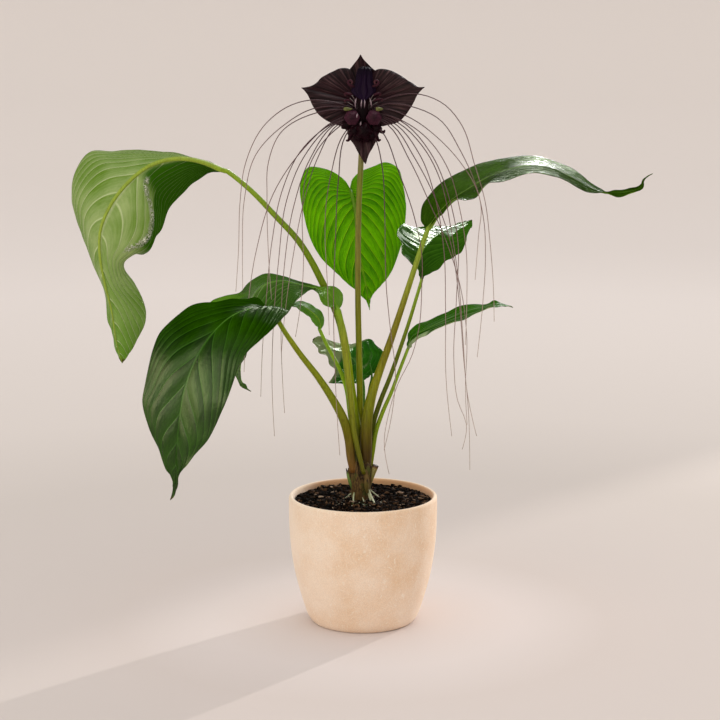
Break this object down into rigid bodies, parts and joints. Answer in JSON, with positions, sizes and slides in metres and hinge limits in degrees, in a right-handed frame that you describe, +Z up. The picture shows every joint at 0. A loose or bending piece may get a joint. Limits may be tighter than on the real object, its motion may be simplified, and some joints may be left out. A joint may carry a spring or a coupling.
{
  "type": "potted bat flower",
  "caption": "Bat flower plant in a round clay pot, with arching leaves and a dark winged flower head trailing long whiskers.",
  "frame": {"origin": "centre of the pot's flat underside", "axes": "+Z up; the flower faces -Y; +X to the right as the flower is seen"},
  "size_m": [0.576, 0.2264, 0.5697],
  "materials": {
    "clay": "matt pale sand fired clay, finely mottled",
    "soil": "moist dark potting soil with bark and grit",
    "crown": "rough brown rhizome",
    "stalk": "satin olive green stalk",
    "leaf": "glossy dark green leaf, paler beneath",
    "bract": "satin near-black maroon bract",
    "flower": "satin purple-brown bud and whisker",
    "stigma": "satin yellow-green"
  },
  "bodies": {
    "root": {"pot": "clay", "soil": "soil", "crown": "crown", "sheath_stub": "stalk", "cut_stub": "stalk", "stalk_far_left": "stalk", "stalk_lower_left": "stalk", "stalk_mid_left": "stalk", "stalk_small_left": "stalk", "stalk_torn": "stalk", "stalk_heart": "stalk", "stalk_upper_right": "stalk", "stalk_right_mid": "stalk", "stalk_lower_right": "stalk", "young_leaf": "stalk", "leaf_far_left": "leaf", "leaf_lower_left": "leaf", "leaf_mid_left": "leaf", "leaf_small_left": "leaf", "leaf_torn": "leaf", "leaf_heart": "leaf", "leaf_upper_right": "leaf", "leaf_right_mid": "leaf", "leaf_lower_right": "leaf", "flower_stalk": "stalk", "bract_left": "bract", "bract_right": "bract", "bract_top": "bract", "bract_low": "bract", "flowers_and_whiskers": "flower", "stigma_left": "stigma", "stigma_right": "stigma"}
  },
  "joints": []
}
